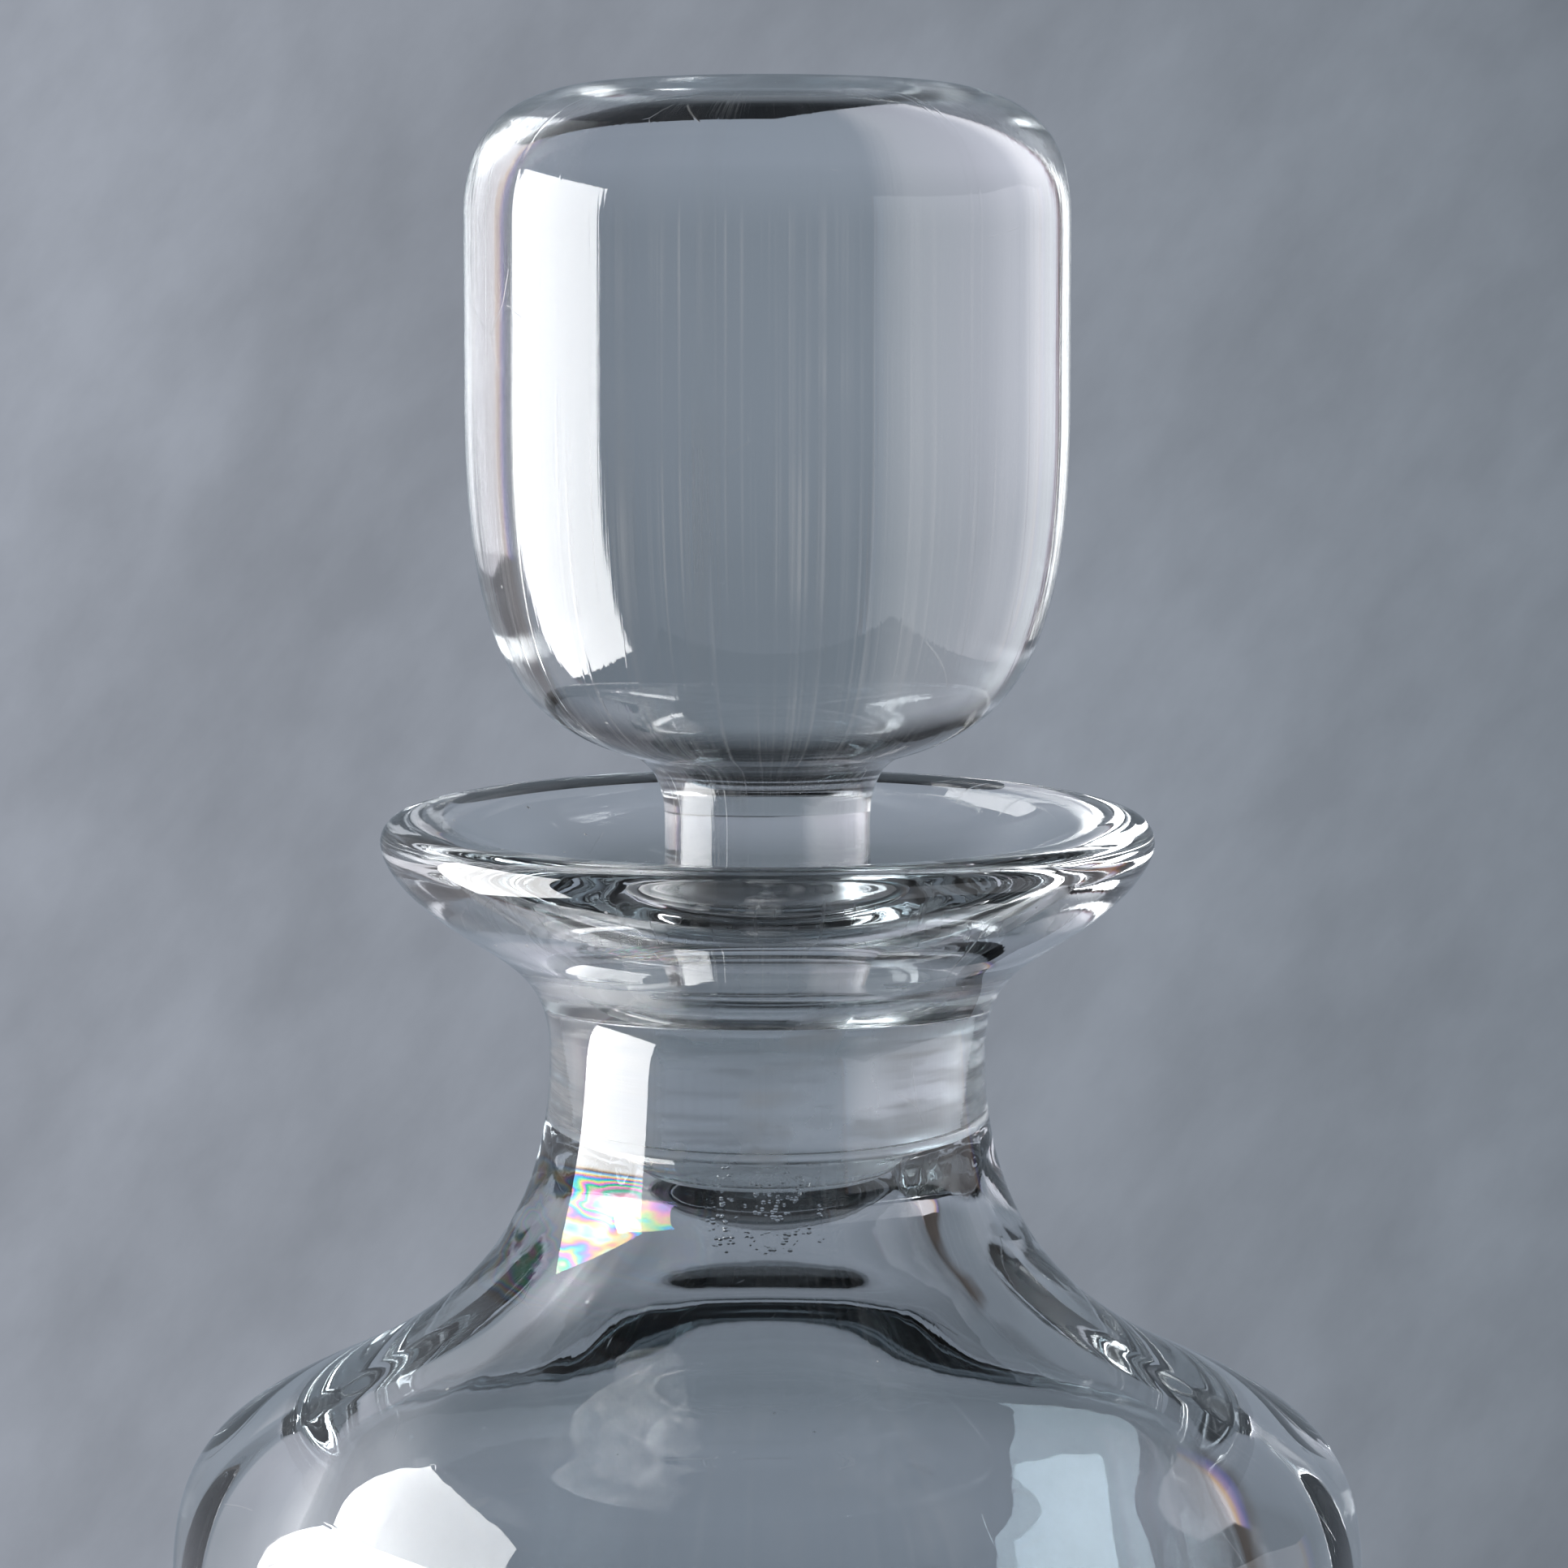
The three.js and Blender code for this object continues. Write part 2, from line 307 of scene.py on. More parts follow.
def stopper_outline():
    """The stopper's outline as stretches, each with the name of its finish."""
    scene = bpy.context.scene
    v, p = scene.decanter_vessel, scene.decanter_stopper
    s, n = scene.decanter_slopes, scene.decanter_crystal.steps
    mouth = mouth_height()

    def plug_radius(height):
        return bore_radius(height) - p.plug_clearance

    tip_height = -v.ground_length - p.tip_length
    tip_side = tip_height + p.tip_round
    tip = at(plug_radius(tip_side) - p.tip_round, tip_height)
    side = at(plug_radius(tip_side), tip_side)
    plug_top = at(plug_radius(p.plug_rise), p.plug_rise)
    stem_low = at(p.stem_radius, p.plug_rise + p.plug_shoulder)
    stem_high = at(p.stem_radius, stem_low.y + p.stem_height)
    bowl_foot = at(p.stem_radius + p.fillet_reach, stem_high.y + p.fillet_height)
    band_low = at(p.head_radius, bowl_foot.y + p.bowl_height)
    band_high = at(p.head_radius, band_low.y + p.band_height)
    top_edge = at(p.top_radius, band_high.y + p.edge_height)
    shoulder_way = heading(s.plug_shoulder, -1, 1)
    bowl_way = heading(s.bowl, 1, 1)
    stretches = [
        (straight(at(0, tip_height), tip, n // 2), "head"),
        (sweep(tip, OUT, side, UP, ROUND, n // 3), "head"),
        (straight(side, plug_top, 2 * n), "plug"),
        (sweep(plug_top, shoulder_way, stem_low, UP, PLUG_SHOULDER, n), "head"),
        (straight(stem_low, stem_high, n // 3), "head"),
        (sweep(stem_high, UP, bowl_foot, bowl_way, FILLET, n), "head"),
        (sweep(bowl_foot, bowl_way, band_low, UP, BOWL, 2 * n), "head"),
        (straight(band_low, band_high, n // 2), "head"),
        (sweep(band_high, UP, top_edge, INWARD, HEAD_EDGE, 2 * n), "head"),
        (straight(top_edge, at(0, top_edge.y), n // 2), "head"),
    ]
    lift = Vector((0, mouth))
    return [([point + lift for point in points], kind) for points, kind in stretches]


# Edges that turn more than this stay sharp.
SHARP_CORNER = math.radians(24)
# Points of an outline that lie nearer than this are one point.
SAME_POINT = 1e-7


def turned_piece(name, stretches, materials):
    """Turns an outline round the Z axis. Its first and last points lie on the axis."""
    segments = bpy.context.scene.decanter_crystal.segments
    rings = []
    bands = []
    for points, kind in stretches:
        for point in points:
            if rings and (rings[-1] - point).length < SAME_POINT:
                continue
            if rings:
                bands.append(kind)
            rings.append(point)
    turns = [2 * math.pi * k / segments for k in range(segments)]
    vertices = [(0, 0, rings[0].y)]
    for ring in rings[1:-1]:
        vertices += [(ring.x * math.sin(a), -ring.x * math.cos(a), ring.y) for a in turns]
    vertices.append((0, 0, rings[-1].y))
    last = len(vertices) - 1
    faces = []
    slots = []
    order = [kind for kind in materials if kind in bands]
    for band, kind in enumerate(bands):
        low = 1 + (band - 1) * segments
        high = low + segments
        for k in range(segments):
            nxt = (k + 1) % segments
            if band == 0:
                faces.append((0, high + nxt, high + k))
            elif band == len(bands) - 1:
                faces.append((last, low + k, low + nxt))
            else:
                faces.append((low + k, low + nxt, high + nxt, high + k))
            slots.append(order.index(kind))
    mesh = bpy.data.meshes.new(name)
    mesh.from_pydata(vertices, [], faces)
    mesh.polygons.foreach_set("material_index", slots)
    mesh.polygons.foreach_set("use_smooth", [True] * len(faces))
    mesh.set_sharp_from_angle(angle=SHARP_CORNER)
    for kind in order:
        mesh.materials.append(materials[kind])
    mesh.update()
    piece = bpy.data.objects.new(name, mesh)
    bpy.context.scene.collection.objects.link(piece)
    return piece


def node(tree, kind, place, **settings):
    made = tree.nodes.new(kind)
    made.location = place
    for key, value in settings.items():
        setattr(made, key, value)
    return made


class Paint:
    """Adds a material's nodes one after another, in columns."""

    def __init__(self, tree):
        self.tree = tree
        self.count = 0

    def add(self, kind, inputs, **settings):
        column, row = divmod(self.count, 6)
        made = node(self.tree, kind, (-3200 + 200 * column, 900 - 260 * row), **settings)
        self.count += 1
        for key, value in inputs.items():
            if isinstance(value, bpy.types.NodeSocket):
                self.tree.links.new(value, made.inputs[key])
            else:
                made.inputs[key].default_value = value
        return made.outputs

    def noise(self, where, scale, detail=2.0):
        return self.add("ShaderNodeTexNoise", {"Vector": where, "Scale": scale, "Detail": detail})[0]

    def remap(self, value, low, high, first=0.0, last=1.0, curve="SMOOTHSTEP"):
        ends = {"Value": value, "From Min": low, "From Max": high, "To Min": first, "To Max": last}
        return self.add("ShaderNodeMapRange", ends, interpolation_type=curve)[0]

    def band(self, value, edges):
        """Rises from the first edge to the second, and falls from the third to the fourth."""
        rise, full, fade, end = edges
        return self.times(self.remap(value, rise, full), self.remap(value, end, fade))

    def mix(self, part, first, second):
        """From one colour to another."""
        ends = {0: part, 6: (*first, 1), 7: (*second, 1)}
        return self.add("ShaderNodeMix", ends, data_type="RGBA")[2]

    def vectors(self, operation, first, second):
        return self.add("ShaderNodeVectorMath", {0: first, 1: second}, operation=operation)[0]

    def scaled(self, colour, part):
        return self.add("ShaderNodeVectorMath", {0: colour, "Scale": part}, operation="SCALE")[0]

    def maths(self, operation, first, second):
        return self.add("ShaderNodeMath", {0: first, 1: second}, operation=operation)[0]

    def times(self, first, second):
        return self.maths("MULTIPLY", first, second)

    def stretch(self, where, scale, turn=(0, 0, 0)):
        return self.add("ShaderNodeMapping", {"Vector": where, "Scale": scale, "Rotation": turn})[0]

    def bump(self, height, distance, normal=None):
        inputs = {"Height": height, "Distance": distance}
        if normal:
            inputs["Normal"] = normal
        return self.add("ShaderNodeBump", inputs)[0]

    def places(self):
        """Place on the piece in metres, and round it: the heading from the axis, and height."""
        here = self.add("ShaderNodeTexCoord", {})["Object"]
        flat = self.vectors("MULTIPLY", here, (1, 1, 0))
        way = self.add("ShaderNodeVectorMath", {0: flat}, operation="NORMALIZE")[0]
        spun = self.vectors("ADD", way, self.vectors("MULTIPLY", here, (0, 0, 1)))
        split = self.add("ShaderNodeSeparateXYZ", {0: here})
        return here, spun, split

    def aside(self, split):
        """How far a place lies to the left or right of the piece's middle."""
        return self.maths("ABSOLUTE", split["X"], 0)

    def specks(self, where, scale, size, share):
        """Small round specks: one in some of the cells, a share of them."""
        cells = self.add("ShaderNodeTexVoronoi", {"Vector": where, "Scale": scale})
        dots = self.remap(cells["Distance"], size * 0.5, size, 1, 0)
        tone = self.add("ShaderNodeSeparateColor", {0: cells["Color"]})[0]
        return self.times(dots, self.maths("LESS_THAN", tone, share))

    def scratches(self, where, scale, width, low):
        """Hairline scratches: straight edges between cells, kept in a few places only."""
        inputs = {"Vector": where, "Scale": scale}
        cells = self.add("ShaderNodeTexVoronoi", inputs, feature="DISTANCE_TO_EDGE")
        lines = self.remap(cells["Distance"], 0, width, 1, 0)
        return self.times(lines, self.remap(self.noise(where, scale * 1.7), low, low + 0.05))


# Index of the oil film, and of the spirit that has crept into the ground joint.
SPIRIT = 1.36
# Depths of the marks in the crystal, in metres.
WAVE_DEPTH = 0.00004
LINE_DEPTH = 0.000012
HAIRLINE_DEPTH = 0.00001
RING_DEPTH = 0.00002
GROOVE_DEPTH = 0.00009
DROP_DEPTH = 0.00006
SCUFF_DEPTH = 0.00003
# Heights above the foot at which the polishing lines fade out.
LINES_FADE = (0.224, 0.229)
# The oil film: heights between which it lies, how far round it reaches, its thickness in
# nanometres, and how far left it starts on the outside and the inside of the neck.
OIL_HEIGHTS = (0.118, 0.121, 0.13, 0.1325)
OIL_FRONT = (0, -0.008)
OIL_EDGE = 0.0025
OIL_THICKNESS = (150, 1000)
OIL_OUTSIDE = -0.0085
OIL_INSIDE = -0.004
# How far to either side the ground joint turns from wet to dry.
DRY_SIDES = (0.0085, 0.0115)
# The funnel of the cavity is eased a little in the front and more behind: how deep, between
# which heights, and where across the piece.
EASE_FRONT = 0.0006
EASE_FRONT_HEIGHTS = (0.118, 0.129)
EASE_FRONT_ACROSS = (0, -0.008)
EASE_BEHIND = 0.0012
EASE_BEHIND_HEIGHTS = (0.111, 0.1215)
EASE_BEHIND_ACROSS = (0, 0.014)
EASE_BEHIND_ASIDE = (0.017, 0.009)
# Heights of the damp throat and how much it dulls the glass, heights of the drops in its front
# and how far they reach to the sides, and heights of the tide line.
DAMP_HEIGHTS = (0.112, 0.118, 0.126, 0.129)
DAMP_HAZE = 0.04
DROP_HEIGHTS = (0.123, 0.1235)
DROPS_ASIDE = (0.0055, 0.0035)
TIDE_HEIGHTS = (0.0735, 0.0738, 0.0741, 0.0745)


def crystal_base(name):
    """Clear lead crystal with a faint tint in its depth: its material, paint and shader."""
    crystal = bpy.context.scene.decanter_crystal
    material = bpy.data.materials.new(name)
    material.use_nodes = True
    tree = material.node_tree
    shader = tree.nodes["Principled BSDF"]
    output = tree.nodes["Material Output"]
    shader.inputs["Base Color"].default_value = (1, 1, 1, 1)
    shader.inputs["IOR"].default_value = crystal.ior
    shader.inputs["Transmission Weight"].default_value = 1
    inside = node(tree, "ShaderNodeVolumeAbsorption", (0, -300))
    inside.inputs["Color"].default_value = (*crystal.tint, 1)
    inside.inputs["Density"].default_value = crystal.depth
    tree.links.new(inside.outputs["Volume"], output.inputs["Volume"])
    return material, Paint(tree), shader


def finish(paint, shader, roughness, dirt, normal):
    """Joins the roughness, the dust and the bumps to the shader."""
    rough = paint.maths("ADD", roughness, paint.times(dirt, 0.5))
    clear = paint.maths("SUBTRACT", 1.0, paint.times(dirt, 0.75))
    paint.tree.links.new(rough, shader.inputs["Roughness"])
    paint.tree.links.new(clear, shader.inputs["Transmission Weight"])
    paint.tree.links.new(normal, shader.inputs["Normal"])


def oily(paint, shader, here, split, side):
    """A film of oil on the front of the neck, on the camera's left: it shows rainbow colours."""
    left = paint.remap(split["X"], side, side - OIL_EDGE)
    across = paint.times(left, paint.remap(split["Y"], *OIL_FRONT))
    along = paint.band(split["Z"], OIL_HEIGHTS)
    bands = paint.noise(paint.stretch(here, (0.55, 0.55, 1.5), (0, 0.25, 0)), 130, 3)
    depth = paint.times(paint.times(across, along), paint.remap(bands, 0.3, 0.7, *OIL_THICKNESS))
    paint.tree.links.new(depth, shader.inputs["Thin Film Thickness"])
    shader.inputs["Thin Film IOR"].default_value = SPIRIT


def polished_crystal(name, lines, film=False):
    """Polished by hand: slow waves, lines along the piece, smears, dust and hairlines.

    Its numbers are how strong the polishing lines are, and whether the oil film lies on it.
    """
    material, paint, shader = crystal_base(name)
    here, spun, split = paint.places()
    waves = paint.bump(paint.noise(here, 48, 1), WAVE_DEPTH)
    along = paint.noise(paint.stretch(spun, (46, 46, 9)), 1, 3)
    rare = paint.remap(paint.noise(paint.stretch(spun, (21, 21, 7)), 1, 1), 0.66, 0.74)
    normal = paint.bump(along, LINE_DEPTH * lines, waves)
    normal = paint.bump(rare, 2 * LINE_DEPTH * lines * lines, normal)
    hairlines = paint.scratches(paint.stretch(here, (1, 1, 0.7), (0.5, 0.3, 0)), 62, 0.004, 0.6)
    normal = paint.bump(hairlines, HAIRLINE_DEPTH, normal)
    smear = paint.noise(paint.stretch(here, (1, 1, 0.35), (0.4, 0.2, 0)), 95, 4)
    haze = paint.remap(smear, 0.6, 0.8, 0, 0.03)
    dust = paint.specks(here, 190, 0.045, 0.16)
    if film:
        oily(paint, shader, here, split, OIL_OUTSIDE)
    lined = paint.remap(along, 0.46, 0.7, 0, 0.24 * lines)
    lined = paint.maths("ADD", lined, paint.times(rare, 0.25 * lines))
    lined = paint.times(lined, paint.remap(paint.noise(here, 40, 2), 0.4, 0.6, 0.25, 1))
    lined = paint.times(lined, paint.remap(split["Z"], *LINES_FADE, 1, 0))
    veil = paint.maths("ADD", lined, paint.remap(smear, 0.5, 0.8, 0, 0.08))
    dirt = paint.maths("MAXIMUM", dust, paint.times(hairlines, 0.25))
    finish(paint, shader, haze, paint.maths("MAXIMUM", dirt, veil), normal)
    return material


def ground_crystal(name, satin, white, beyond=1.0):
    """Ground on a wheel: fine rings, satin where the joint is dry and clearer where it is wet.

    Its numbers are its roughness, how white it is where dry, and the index of what lies
    beyond the surface: air, or spirit in the joint.
    """
    material, paint, shader = crystal_base(name)
    shader.inputs["IOR"].default_value /= beyond
    here, spun, split = paint.places()
    rings = paint.noise(paint.stretch(spun, (0.9, 0.9, 2600)), 1, 4)
    broad = paint.noise(paint.stretch(spun, (1.1, 1.1, 620)), 1, 4)
    dry = paint.noise(paint.stretch(spun, (2.1, 2.1, 90)), 1, 3)
    side = paint.remap(paint.aside(split), *DRY_SIDES)
    dry = paint.maths("MAXIMUM", paint.remap(dry, 0.48, 0.6), side)
    normal = paint.bump(paint.times(rings, dry), RING_DEPTH)
    normal = paint.bump(paint.times(broad, dry), GROOVE_DEPTH, normal)
    rough = paint.remap(dry, 0, 1, satin, satin + 0.1)
    rough = paint.maths("ADD", rough, paint.times(paint.remap(broad, 0.48, 0.6, 0, 0.14), dry))
    chips = paint.specks(paint.stretch(here, (1, 1, 2.2)), 420, 0.16, 0.05)
    veil = paint.times(dry, paint.remap(broad, 0.44, 0.62, 0.05, 0.6))
    veil = paint.times(veil, paint.remap(rings, 0.4, 0.6, 0.4 * white, white))
    finish(paint, shader, rough, paint.maths("MAXIMUM", veil, paint.times(chips, 0.5)), normal)
    return material


def blown_crystal(name):
    """Blown: slow waves and faint cords, with drops and a film of spirit under the joint."""
    material, paint, shader = crystal_base(name)
    here, spun, split = paint.places()
    waves = paint.bump(paint.noise(here, 60, 1), 1.6 * WAVE_DEPTH)
    cords = paint.noise(paint.stretch(spun, (5, 5, 26)), 1, 2)
    normal = paint.bump(cords, 1.2 * WAVE_DEPTH, waves)
    facing = paint.remap(split["Y"], *EASE_FRONT_ACROSS)
    eased = paint.times(paint.remap(split["Z"], *EASE_FRONT_HEIGHTS, 1, 0), facing)
    normal = paint.bump(eased, EASE_FRONT, normal)
    behind = paint.remap(split["Y"], *EASE_BEHIND_ACROSS)
    eased = paint.times(behind, paint.remap(split["Z"], *EASE_BEHIND_HEIGHTS, 1, 0))
    eased = paint.times(eased, paint.remap(paint.aside(split), *EASE_BEHIND_ASIDE))
    normal = paint.bump(eased, EASE_BEHIND, normal)
    front = paint.remap(paint.aside(split), *DROPS_ASIDE)
    front = paint.times(front, paint.remap(split["Z"], *DROP_HEIGHTS))
    wet = paint.times(front, paint.remap(paint.noise(here, 500, 2), 0.46, 0.52))
    cells = paint.add("ShaderNodeTexVoronoi", {"Vector": here, "Scale": 1900.0})["Distance"]
    drops = paint.times(paint.remap(cells, 0.1, 0.5, 1, 0), wet)
    normal = paint.bump(drops, DROP_DEPTH, normal)
    tide = paint.band(split["Z"], TIDE_HEIGHTS)
    tide = paint.times(tide, paint.remap(paint.noise(spun, 6), 0.5, 0.6))
    haze = paint.remap(paint.noise(here, 80, 4), 0.6, 0.8, 0, 0.03)
    damp = paint.times(paint.band(split["Z"], DAMP_HEIGHTS), DAMP_HAZE)
    oily(paint, shader, here, split, OIL_INSIDE)
    finish(paint, shader, paint.maths("ADD", haze, damp), paint.times(tide, 0.12), normal)
    return material


def worn_crystal(name):
    """The standing ring, scuffed by years of being set down."""
    material, paint, shader = crystal_base(name)
    here = paint.places()[0]
    scuffs = paint.scratches(here, 260, 0.03, 0.42)
    fine = paint.scratches(paint.stretch(here, (1, 1.8, 1), (0, 0, 0.7)), 520, 0.05, 0.4)
    marks = paint.maths("MAXIMUM", scuffs, fine)
    normal = paint.bump(marks, SCUFF_DEPTH)
    rough = paint.remap(paint.noise(here, 220, 4), 0.35, 0.7, 0.12, 0.42)
    finish(paint, shader, rough, paint.times(marks, 0.35), normal)
    return material


def finishes():
    """Every finish of the crystal, made once."""
    makers = {
        "crystal": ("polished crystal", lambda name: polished_crystal(name, 0.15, True)),
        "head": ("polished stopper", lambda name: polished_crystal(name, 1)),
        "satin": ("satin crystal", lambda name: ground_crystal(name, 0.12, 0.1)),
        "ground": ("ground bore", lambda name: ground_crystal(name, 0.26, 1, SPIRIT)),
        "plug": ("ground plug", lambda name: ground_crystal(name, 0.16, 0.8, SPIRIT)),
        "cavity": ("blown crystal", blown_crystal),
        "worn": ("worn crystal", worn_crystal),
    }
    made = {}
    for key, (name, maker) in makers.items():
        material = bpy.data.materials.get(name)
        made[key] = material if material else maker(name)
    return made


class DECANTER_OT_vessel(bpy.types.Operator):
    """Turn the vessel with its foot, belt, neck, lip and ground bore"""

    bl_idname = "decanter.vessel"
    bl_label = "Vessel"

    def execute(self, context):
        piece = turned_piece("crystal_vessel", vessel_outline(), finishes())
        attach(piece, "vessel")
        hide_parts("decanter_body")
        return {"FINISHED"}


class DECANTER_OT_stopper(bpy.types.Operator):
    """Turn the stopper with its head, stem and ground plug"""

    bl_idname = "decanter.stopper"
    bl_label = "Stopper"

    def execute(self, context):
        piece = turned_piece("crystal_stopper", stopper_outline(), finishes())
        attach(piece, "stopper")
        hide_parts("stopper")
        return {"FINISHED"}


def staged(name, vertices, faces, material):
    """A plain mesh of the studio, kept out of the part."""
    mesh = bpy.data.meshes.new(name)
    mesh.from_pydata(vertices, [], faces)
    mesh.materials.append(material)
    piece = bpy.data.objects.new(name, mesh)
    bpy.context.scene.collection.objects.link(piece)
    return piece


# The floor's mesh: rings, and faces round it.
FLOOR_RINGS = 24
FLOOR_TURNS = 96
# Share of the floor's radius at which it starts to fade.
FLOOR_CLEAR_SHARE = 0.3
FLOOR_ROUGHNESS = 0.9


def floor_paint(studio):
    """Pale and dull, and clear toward the edge."""
    material = bpy.data.materials.new("floor paint")
    material.use_nodes = True
    paint = Paint(material.node_tree)
    shader = paint.tree.nodes["Principled BSDF"]
    output = paint.tree.nodes["Material Output"]
    shader.inputs["Base Color"].default_value = (*studio.floor, 1)
    shader.inputs["Roughness"].default_value = FLOOR_ROUGHNESS
    place = paint.add("ShaderNodeTexCoord", {})["Object"]
    reach = paint.add("ShaderNodeVectorMath", {0: place}, operation="LENGTH")["Value"]
    fade = paint.remap(reach, FLOOR_CLEAR_SHARE * studio.floor_radius, studio.floor_radius)
    clear = paint.add("ShaderNodeBsdfTransparent", {})[0]
    mixed = paint.add("ShaderNodeMixShader", {0: fade, 1: shader.outputs[0], 2: clear})[0]
    paint.tree.links.new(mixed, output.inputs["Surface"])
    return material


def add_floor(studio):
    """A pale round floor that fades into the backdrop. The crystal doesn't see it."""
    vertices = [(0, 0, 0)]
    for ring in range(1, FLOOR_RINGS + 1):
        radius = studio.floor_radius * ring / FLOOR_RINGS
        for k in range(FLOOR_TURNS):
            a = 2 * math.pi * k / FLOOR_TURNS
            vertices.append((radius * math.cos(a), radius * math.sin(a), 0))
    faces = []
    for ring in range(FLOOR_RINGS):
        outer = 1 + ring * FLOOR_TURNS
        inner = outer - FLOOR_TURNS
        for k in range(FLOOR_TURNS):
            nxt = (k + 1) % FLOOR_TURNS
            if ring == 0:
                faces.append((0, outer + k, outer + nxt))
            else:
                faces.append((inner + k, outer + k, outer + nxt, inner + nxt))
    floor = staged("floor", vertices, faces, floor_paint(studio))
    floor.visible_glossy = False
    floor.visible_transmission = False


# Painted shade: the dark sheet under the decanter is painted as pale as the floor where it is looked
# at from above, and dark where it is looked at aslant, so that the crystal shows dark there. Each
# number is one less the sine of the look's slope: pale, then dark.
STEEP_LOOK = (0.04, 0.12)


def shade_board_paint(studio):
    """Painted shade: dark and dull where looked at aslant, and painted as pale as the floor from above.
    """
    material = bpy.data.materials.new("board paint")
    material.use_nodes = True
    paint = Paint(material.node_tree)
    shader = paint.tree.nodes["Principled BSDF"]
    shader.inputs["Roughness"].default_value = 1
    shader.inputs["Specular IOR Level"].default_value = 0
    # Painted shade by the look's slope: as pale as the floor from above, dark aslant.
    slant = paint.add("ShaderNodeLayerWeight", {})["Facing"]
    steep = paint.remap(slant, *STEEP_LOOK, curve="LINEAR")
    tone = paint.mix(steep, studio.floor, studio.shade_board)
    paint.tree.links.new(tone, shader.inputs["Base Color"])
    return material


def add_shade_board(studio):
    """A dark sheet of painted shade under the decanter, its left edge slanted. Only the crystal sees it.
    """
    right, back, low = studio.board_right, studio.board_back, -studio.board_depth
    corners = [
        (-studio.board_left, -back, low),
        (right, -back, low),
        (right, back, low),
        (-studio.board_slant, back, low),
    ]
    shade_board = staged("shade_board", corners, [(0, 1, 2, 3)], shade_board_paint(studio))
    shade_board.visible_camera = False
    shade_board.visible_diffuse = False
    shade_board.visible_shadow = False


# Clouds of the plaster backdrop: scale, detail and how much they change its tone.
PLASTER = ((11, 4, 0.16), (60, 5, 0.09))
# How the clouds lean, and how long they are across, deep and along.
PLASTER_LEAN = math.radians(35)
PLASTER_STRETCH = (0.7, 1, 1.3)
# Headings between which the backdrop goes from its left tone to its right one.
BACKDROP_SIDES = (-0.11, 0.13)
# Light round the decanter: degrees round the axis from the camera, and a colour.
ROUND_THE_STUDIO = (
    (-180, (0.185, 0.22, 0.26)),
    (-166, (0.19, 0.225, 0.265)),
    (-160, (0.3, 0.33, 0.37)),
    (-145, (0.335, 0.36, 0.41)),
    (-133, (0.43, 0.46, 0.52)),
    (-124, (0.73, 0.76, 0.82)),
    (-114, (0.92, 0.95, 1.0)),
    (-113, (0.5, 0.62, 1.1)),
    (-112, (0.5, 0.2, 0.05)),
    (-110, (0.03, 0.028, 0.03)),
    (-64, (0.03, 0.03, 0.035)),
    (-45, (0.19, 0.21, 0.24)),
    (38, (0.19, 0.21, 0.24)),
    (41, (0.06, 0.065, 0.075)),
    (90, (0.03, 0.026, 0.022)),
    (128, (0.06, 0.05, 0.045)),
    (134, (0.17, 0.2, 0.24)),
    (180, (0.185, 0.22, 0.26)),
)
# The pale panel on the right: degrees, colour, and how high it reaches.
RIGHT_PANEL = (
    (-180, (0, 0, 0), 0.2),
    (40, (0, 0, 0), 0.3),
    (41, (0.5, 0.22, 0.06), 0.3),
    (42, (0.7, 0.85, 1.1), 0.3),
    (44, (0.9, 0.94, 1.0), 0.3),
    (67, (0.9, 0.94, 1.0), 0.237),
    (90, (0.9, 0.93, 1.0), 0.19),
    (104, (1.15, 1.14, 1.2), 0.19),
    (114, (0.62, 0.61, 0.66), 0.18),
    (125, (0.6, 0.57, 0.6), 0.1),
    (127, (0.5, 0.3, 0.12), 0.1),
    (128.5, (0.1, 0.12, 0.5), 0.1),
    (130, (0, 0, 0), 0.1),
    (180, (0, 0, 0), 0.1),
)
# Half the width of the panel's soft upper edge.
PANEL_EDGE = 0.004
# How the walls change with height: from an elevation in degrees and its level to another.
WALL_BY_HEIGHT = (
    (-20, (1.53, 1.47, 1.48), 2, (1, 1, 1)),
    (28, (1, 1, 1), 40, (0.12, 0.12, 0.12)),
)
STUDIO_STRENGTH = 2
# Even light that only the floor gathers.
FLOOR_LIGHT = (0.5, 0.5, 0.5)


def round_ramp(paint, spot, stops):
    """A ramp that runs once round the studio. Its colours are shares of the strength."""
    made = paint.add("ShaderNodeValToRGB", {0: spot})[0]
    elements = made.node.color_ramp.elements
    for angle, _ in stops[1:-1]:
        elements.new((angle + 180) / 360)
    for element, (_, tone) in zip(elements, stops):
        element.color = (*(part / STUDIO_STRENGTH for part in tone), 1)
    return made


def plaster(paint, direction, across, studio):
    """A mottled plaster wall, lighter on the camera's left and darker on its right."""
    lean = {"Vector": direction, "Rotation": (0, PLASTER_LEAN, 0), "Scale": PLASTER_STRETCH}
    lean = paint.add("ShaderNodeMapping", lean, vector_type="TEXTURE")[0]
    painted = paint.mix(paint.remap(across, *BACKDROP_SIDES), studio.wall_left, studio.wall_right)
    for scale, detail, weight in PLASTER:
        cloud = {"Vector": lean, "Scale": scale, "Detail": detail, "Roughness": 0.6}
        cloud = paint.add("ShaderNodeTexNoise", cloud)[0]
        part = paint.remap(cloud, 0.3, 0.7, 1 - weight, 1 + weight, curve="LINEAR")
        painted = paint.scaled(painted, part)
    return painted


